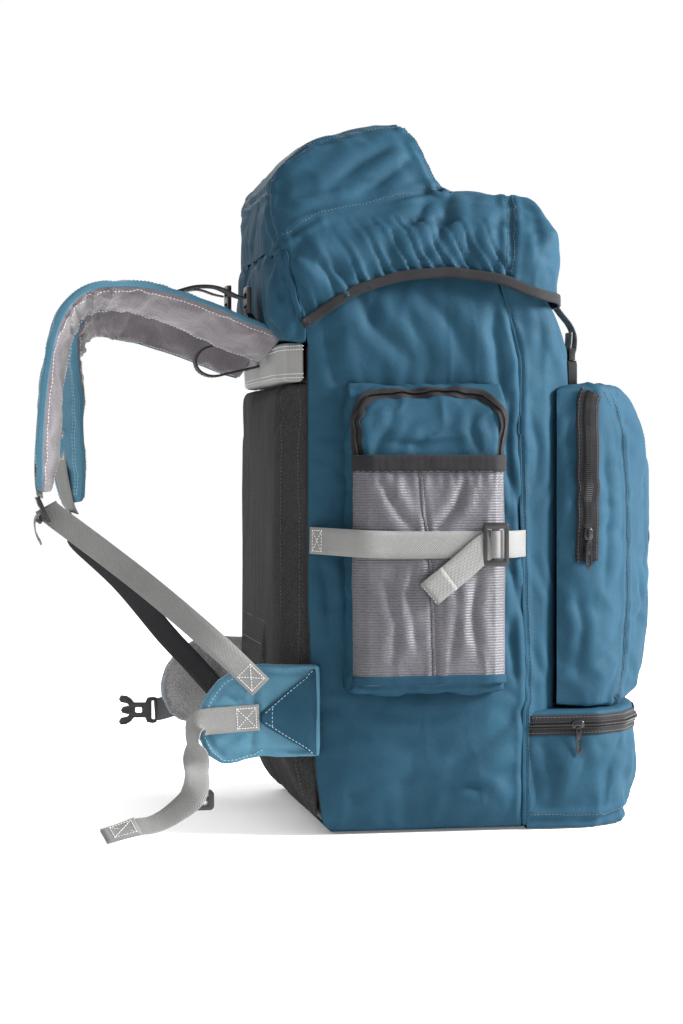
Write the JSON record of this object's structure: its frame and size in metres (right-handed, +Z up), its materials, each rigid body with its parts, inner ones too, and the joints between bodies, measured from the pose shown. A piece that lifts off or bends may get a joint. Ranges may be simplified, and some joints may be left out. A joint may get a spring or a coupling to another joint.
{
  "type": "daypack",
  "caption": "Tall stuffed trekking rucksack with lid, zipped front, side and bottom pockets, padded shoulder straps and hip belt.",
  "frame": {"origin": "on the floor, under the middle of the base", "axes": "+X to the pack's front, away from the wearer; +Y to the wearer's right; +Z up"},
  "size_m": [0.6307, 0.4343, 0.672],
  "materials": {
    "back_fabric": "charcoal textured back fabric",
    "black_plastic": "moulded acetal",
    "black_webbing": "woven black webbing",
    "elastic": "woven elastic binding",
    "foam": "closed-cell foam",
    "grey_webbing": "woven grey webbing",
    "light_teal_fabric": "woven polyester, lit harness face",
    "liner_fabric": "thin coated liner fabric",
    "mesh": "ribbed stretch mesh",
    "sheet_plastic": "extruded HDPE sheet",
    "stay_metal": "mill-finish flat bar",
    "teal_fabric": "woven polyester ripstop, PU backed",
    "yoke_band": "silver-grey sewn band",
    "zip_metal": "black painted die-cast zinc",
    "zip_tape": "coil zip tape"
  },
  "bodies": {
    "pack": {"side_panel_left": "teal_fabric", "side_panel_right": "teal_fabric", "front_panel": "teal_fabric", "base_panel": "teal_fabric", "back_panel": "back_fabric", "back_foam": "foam", "back_yoke": "yoke_band", "neck_panel": "teal_fabric", "frame_sheet": "sheet_plastic", "back_stays": "stay_metal", "lumbar_pad": "back_fabric", "collar": "liner_fabric", "drawcord": "black_webbing", "cord_lock_body": "black_plastic", "divider_floor": "liner_fabric", "front_pocket": "teal_fabric", "front_zip": "zip_tape", "bottom_compartment": "teal_fabric", "bottom_zip": "zip_tape", "side_pocket_left": "teal_fabric", "side_pocket_right": "teal_fabric", "side_zips": "zip_tape", "mesh_pocket_left": "mesh", "mesh_pocket_right": "mesh", "pocket_elastics": "elastic", "compression_straps": "grey_webbing", "triglide_buckles": "black_plastic", "compression_tails": "grey_webbing", "gear_loops": "black_webbing", "lid_buckle_housings": "black_plastic", "load_lifter_locks": "black_plastic", "hip_roots": "teal_fabric"},
    "lid": {"lid_pocket": "teal_fabric", "lid_skirt": "teal_fabric", "lid_front": "teal_fabric", "lid_floor": "liner_fabric", "lid_hem": "elastic", "lid_zip": "zip_tape", "lid_straps": "grey_webbing"},
    "lid_slider": {"lid_slider": "zip_metal"},
    "lid_pull": {"lid_pull": "zip_metal"},
    "front_slider": {"front_slider": "zip_metal"},
    "front_pull": {"front_pull": "zip_metal"},
    "bottom_slider": {"bottom_slider": "zip_metal"},
    "bottom_pull": {"bottom_pull": "zip_metal"},
    "cord_lock_button": {"cord_lock_button": "black_plastic"},
    "lid_prong_left": {"lid_prong_left": "black_plastic"},
    "lid_prong_right": {"lid_prong_right": "black_plastic"},
    "haul_loop": {"haul_loop": "black_webbing"},
    "shoulder_left": {"shoulder_pad_left": "light_teal_fabric", "ladder_lock_left": "black_plastic", "strap_webbing_left": "grey_webbing"},
    "shoulder_right": {"shoulder_pad_right": "light_teal_fabric", "ladder_lock_right": "black_plastic", "strap_webbing_right": "black_webbing"},
    "hip_left": {"hip_wing_left": "light_teal_fabric", "waist_webbing_left": "grey_webbing", "waist_buckle_socket": "black_plastic"},
    "hip_right": {"hip_wing_right": "light_teal_fabric", "waist_buckle_prong": "black_plastic"}
  },
  "joints": [
    {"name": "lid_hinge", "type": "hinge", "parent": "pack", "child": "lid", "pos_m": [-0.198, 0, 0.54], "axis": [0, -1, 0], "range_deg": [0, 105]},
    {"name": "lid_slider_travel", "type": "slide", "parent": "lid", "child": "lid_slider", "axis": [0, 1, 0], "range_m": [0, 0.15]},
    {"name": "lid_pull_swing", "type": "hinge", "parent": "lid_slider", "child": "lid_pull", "pos_m": [-0.017, -0.0903, 0.6049], "axis": [-1, 0, 0], "range_deg": [0, 100]},
    {"name": "front_slider_travel", "type": "slide", "parent": "pack", "child": "front_slider", "axis": [0, 0, 1], "range_m": [0, 0.12]},
    {"name": "front_pull_swing", "type": "hinge", "parent": "front_slider", "child": "front_pull", "pos_m": [0.11, -0.1535, 0.2708], "axis": [-1, 0, 0], "range_deg": [0, 100]},
    {"name": "bottom_slider_travel", "type": "slide", "parent": "pack", "child": "bottom_slider", "axis": [1, 0, 0], "range_m": [-0.025, 0.012]},
    {"name": "bottom_pull_swing", "type": "hinge", "parent": "bottom_slider", "child": "bottom_pull", "pos_m": [0.099, -0.1585, 0.0929], "axis": [-1, 0, 0], "range_deg": [0, 100]},
    {"name": "cord_lock_press", "type": "slide", "parent": "pack", "child": "cord_lock_button", "axis": [0, -1, 0], "range_m": [0, 0.004], "stiffness_N_per_m": 300, "springref_m": -0.003},
    {"name": "lid_buckle_left_release", "type": "slide", "parent": "pack", "child": "lid_prong_left", "axis": [0, 0, 1], "range_m": [0, 0.014]},
    {"name": "lid_buckle_right_release", "type": "slide", "parent": "pack", "child": "lid_prong_right", "axis": [0, 0, 1], "range_m": [0, 0.014]},
    {"name": "haul_loop_lift", "type": "hinge", "parent": "pack", "child": "haul_loop", "pos_m": [-0.186, 0, 0.446], "axis": [0, 1, 0], "range_deg": [0, 35]},
    {"name": "left_strap_swing", "type": "hinge", "parent": "pack", "child": "shoulder_left", "pos_m": [-0.196, -0.076, 0.463], "axis": [0.0324, 0.3125, 0.9494], "range_deg": [-6, 12]},
    {"name": "right_strap_swing", "type": "hinge", "parent": "pack", "child": "shoulder_right", "pos_m": [-0.196, 0.076, 0.459], "axis": [-0.0332, 0.2104, -0.9771], "range_deg": [-6, 12]},
    {"name": "left_hip_fold", "type": "hinge", "parent": "pack", "child": "hip_left", "pos_m": [-0.204, -0.167, 0.11], "axis": [0, 0, -1], "range_deg": [-5, 20]},
    {"name": "right_hip_fold", "type": "hinge", "parent": "pack", "child": "hip_right", "pos_m": [-0.204, 0.167, 0.11], "axis": [0, 0, 1], "range_deg": [-5, 20]}
  ]
}
